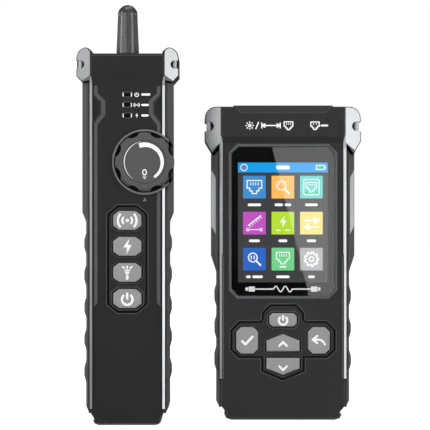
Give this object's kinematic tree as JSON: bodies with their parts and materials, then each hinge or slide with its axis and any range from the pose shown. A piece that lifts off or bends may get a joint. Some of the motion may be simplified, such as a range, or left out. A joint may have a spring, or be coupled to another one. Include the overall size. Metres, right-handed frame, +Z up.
{
  "type": "network cable tester",
  "caption": "Handheld network cable tester with colour screen and rugged grips, beside its slim tracing probe with antenna tip and scalloped dial.",
  "frame": {"origin": "centre of the tester's flat base", "axes": "+Z up along the length of both units, -Y out of their fronts, +X to the right seen from the front"},
  "size_m": [0.1355, 0.0542, 0.1983],
  "materials": {
    "housing": "fine moulded texture, matt black",
    "grip": "soft-touch, dark grey",
    "trim": "satin silver paint",
    "insert": "satin silver paint",
    "steel": "bright plated",
    "bezel": "satin grey",
    "screen_glass": "clear gloss over a black printed border",
    "lcd": "dark display face",
    "lcd_tray": "pressed steel",
    "key": "satin grey",
    "keypad_mat": "silicone",
    "switch": "domed steel",
    "board": "green solder mask",
    "jack": "black moulding",
    "gold": "gold plated",
    "sounder": "black",
    "cell": "printed sleeve",
    "antenna": "polished dark grey",
    "ferrite": "ferrite",
    "lens": "smoked",
    "led_lens": "clear",
    "dial": "soft-touch, grey",
    "collar": "satin grey",
    "potentiometer": "pressed steel can",
    "white_print": "white printed marks",
    "black_print": "black print behind the glass",
    "display_colours": "lit areas of the display",
    "label": "blank film label"
  },
  "bodies": {
    "tester": {"tester_batteries": "cell", "tester_battery_contacts": "steel", "tester_buzzer": "sounder", "tester_case_screws": "steel", "tester_front_cover": "housing", "tester_key_switches": "switch", "tester_keypad_mat": "keypad_mat", "tester_lanyard_pins": "steel", "tester_lcd_panel": "lcd", "tester_lcd_tray": "lcd_tray", "tester_left_grip": "grip", "tester_left_trim": "trim", "tester_main_board": "board", "tester_rear_cover": "housing", "tester_right_grip": "grip", "tester_right_trim": "trim", "tester_rj11_contacts": "gold", "tester_rj11_jack": "jack", "tester_rj45_contacts": "gold", "tester_rj45_jack": "jack", "tester_screen_bezel": "bezel", "tester_screen_glass": "screen_glass", "tester_side_inserts": "insert"},
    "probe": {"probe_antenna_core": "ferrite", "probe_antenna_seal": "keypad_mat", "probe_antenna_sleeve": "antenna", "probe_batteries": "cell", "probe_battery_contacts": "steel", "probe_case_screws": "steel", "probe_dial_collar": "collar", "probe_front_cover": "housing", "probe_indicator_windows": "lens", "probe_key_switches": "switch", "probe_keypad_mat": "keypad_mat", "probe_lanyard_pins": "steel", "probe_left_grip": "grip", "probe_left_trim": "trim", "probe_main_board": "board", "probe_panel_ribs": "grip", "probe_potentiometer": "potentiometer", "probe_rear_cover": "housing", "probe_right_grip": "grip", "probe_right_trim": "trim", "probe_speaker": "sounder", "probe_torch_led": "led_lens"},
    "probe_door": {"probe_battery_door": "housing", "probe_door_screw": "steel"},
    "dial": {"probe_dial": "dial", "probe_dial_shaft": "steel"},
    "probe_power_key": {"probe_power_button": "key"},
    "probe_scan_key": {"probe_scan_button": "key"},
    "probe_torch_key": {"probe_torch_button": "key"},
    "probe_voltage_key": {"probe_voltage_button": "key"},
    "tester_back_key": {"tester_back_button": "key"},
    "tester_door": {"tester_battery_door": "housing", "tester_door_screw": "steel"},
    "tester_down_key": {"tester_down_button": "key"},
    "tester_ok_key": {"tester_ok_button": "key"},
    "tester_power_key": {"tester_power_button": "key"},
    "tester_up_key": {"tester_up_button": "key"}
  },
  "joints": [
    {"name": "probe_lift_off", "type": "slide", "parent": "tester", "child": "probe", "axis": [0, 0, 1], "range_m": [0, 0.06]},
    {"name": "tester_power_press", "type": "slide", "parent": "tester", "child": "tester_power_key", "axis": [0, 1, 0], "range_m": [0, 0.0008], "stiffness_N_per_m": 900, "springref_m": -0.0004},
    {"name": "tester_ok_press", "type": "slide", "parent": "tester", "child": "tester_ok_key", "axis": [0, 1, 0], "range_m": [0, 0.0008], "stiffness_N_per_m": 900, "springref_m": -0.0004},
    {"name": "tester_back_press", "type": "slide", "parent": "tester", "child": "tester_back_key", "axis": [0, 1, 0], "range_m": [0, 0.0008], "stiffness_N_per_m": 900, "springref_m": -0.0004},
    {"name": "tester_up_press", "type": "slide", "parent": "tester", "child": "tester_up_key", "axis": [0, 1, 0], "range_m": [0, 0.0008], "stiffness_N_per_m": 900, "springref_m": -0.0004},
    {"name": "tester_down_press", "type": "slide", "parent": "tester", "child": "tester_down_key", "axis": [0, 1, 0], "range_m": [0, 0.0008], "stiffness_N_per_m": 900, "springref_m": -0.0004},
    {"name": "probe_scan_press", "type": "slide", "parent": "probe", "child": "probe_scan_key", "axis": [0, 1, 0], "range_m": [0, 0.0008], "stiffness_N_per_m": 900, "springref_m": -0.0004},
    {"name": "probe_voltage_press", "type": "slide", "parent": "probe", "child": "probe_voltage_key", "axis": [0, 1, 0], "range_m": [0, 0.0008], "stiffness_N_per_m": 900, "springref_m": -0.0004},
    {"name": "probe_torch_press", "type": "slide", "parent": "probe", "child": "probe_torch_key", "axis": [0, 1, 0], "range_m": [0, 0.0008], "stiffness_N_per_m": 900, "springref_m": -0.0004},
    {"name": "probe_power_press", "type": "slide", "parent": "probe", "child": "probe_power_key", "axis": [0, 1, 0], "range_m": [0, 0.0008], "stiffness_N_per_m": 900, "springref_m": -0.0004},
    {"name": "dial_turn", "type": "hinge", "parent": "probe", "child": "dial", "pos_m": [-0.0655, -0.0382, 0.1231], "axis": [0, 1, 0], "range_deg": [0, 270]},
    {"name": "tester_door_off", "type": "slide", "parent": "tester", "child": "tester_door", "axis": [0, 1, 0], "range_m": [0, 0.02]},
    {"name": "probe_door_off", "type": "slide", "parent": "probe", "child": "probe_door", "axis": [0, 1, 0], "range_m": [0, 0.02]}
  ]
}
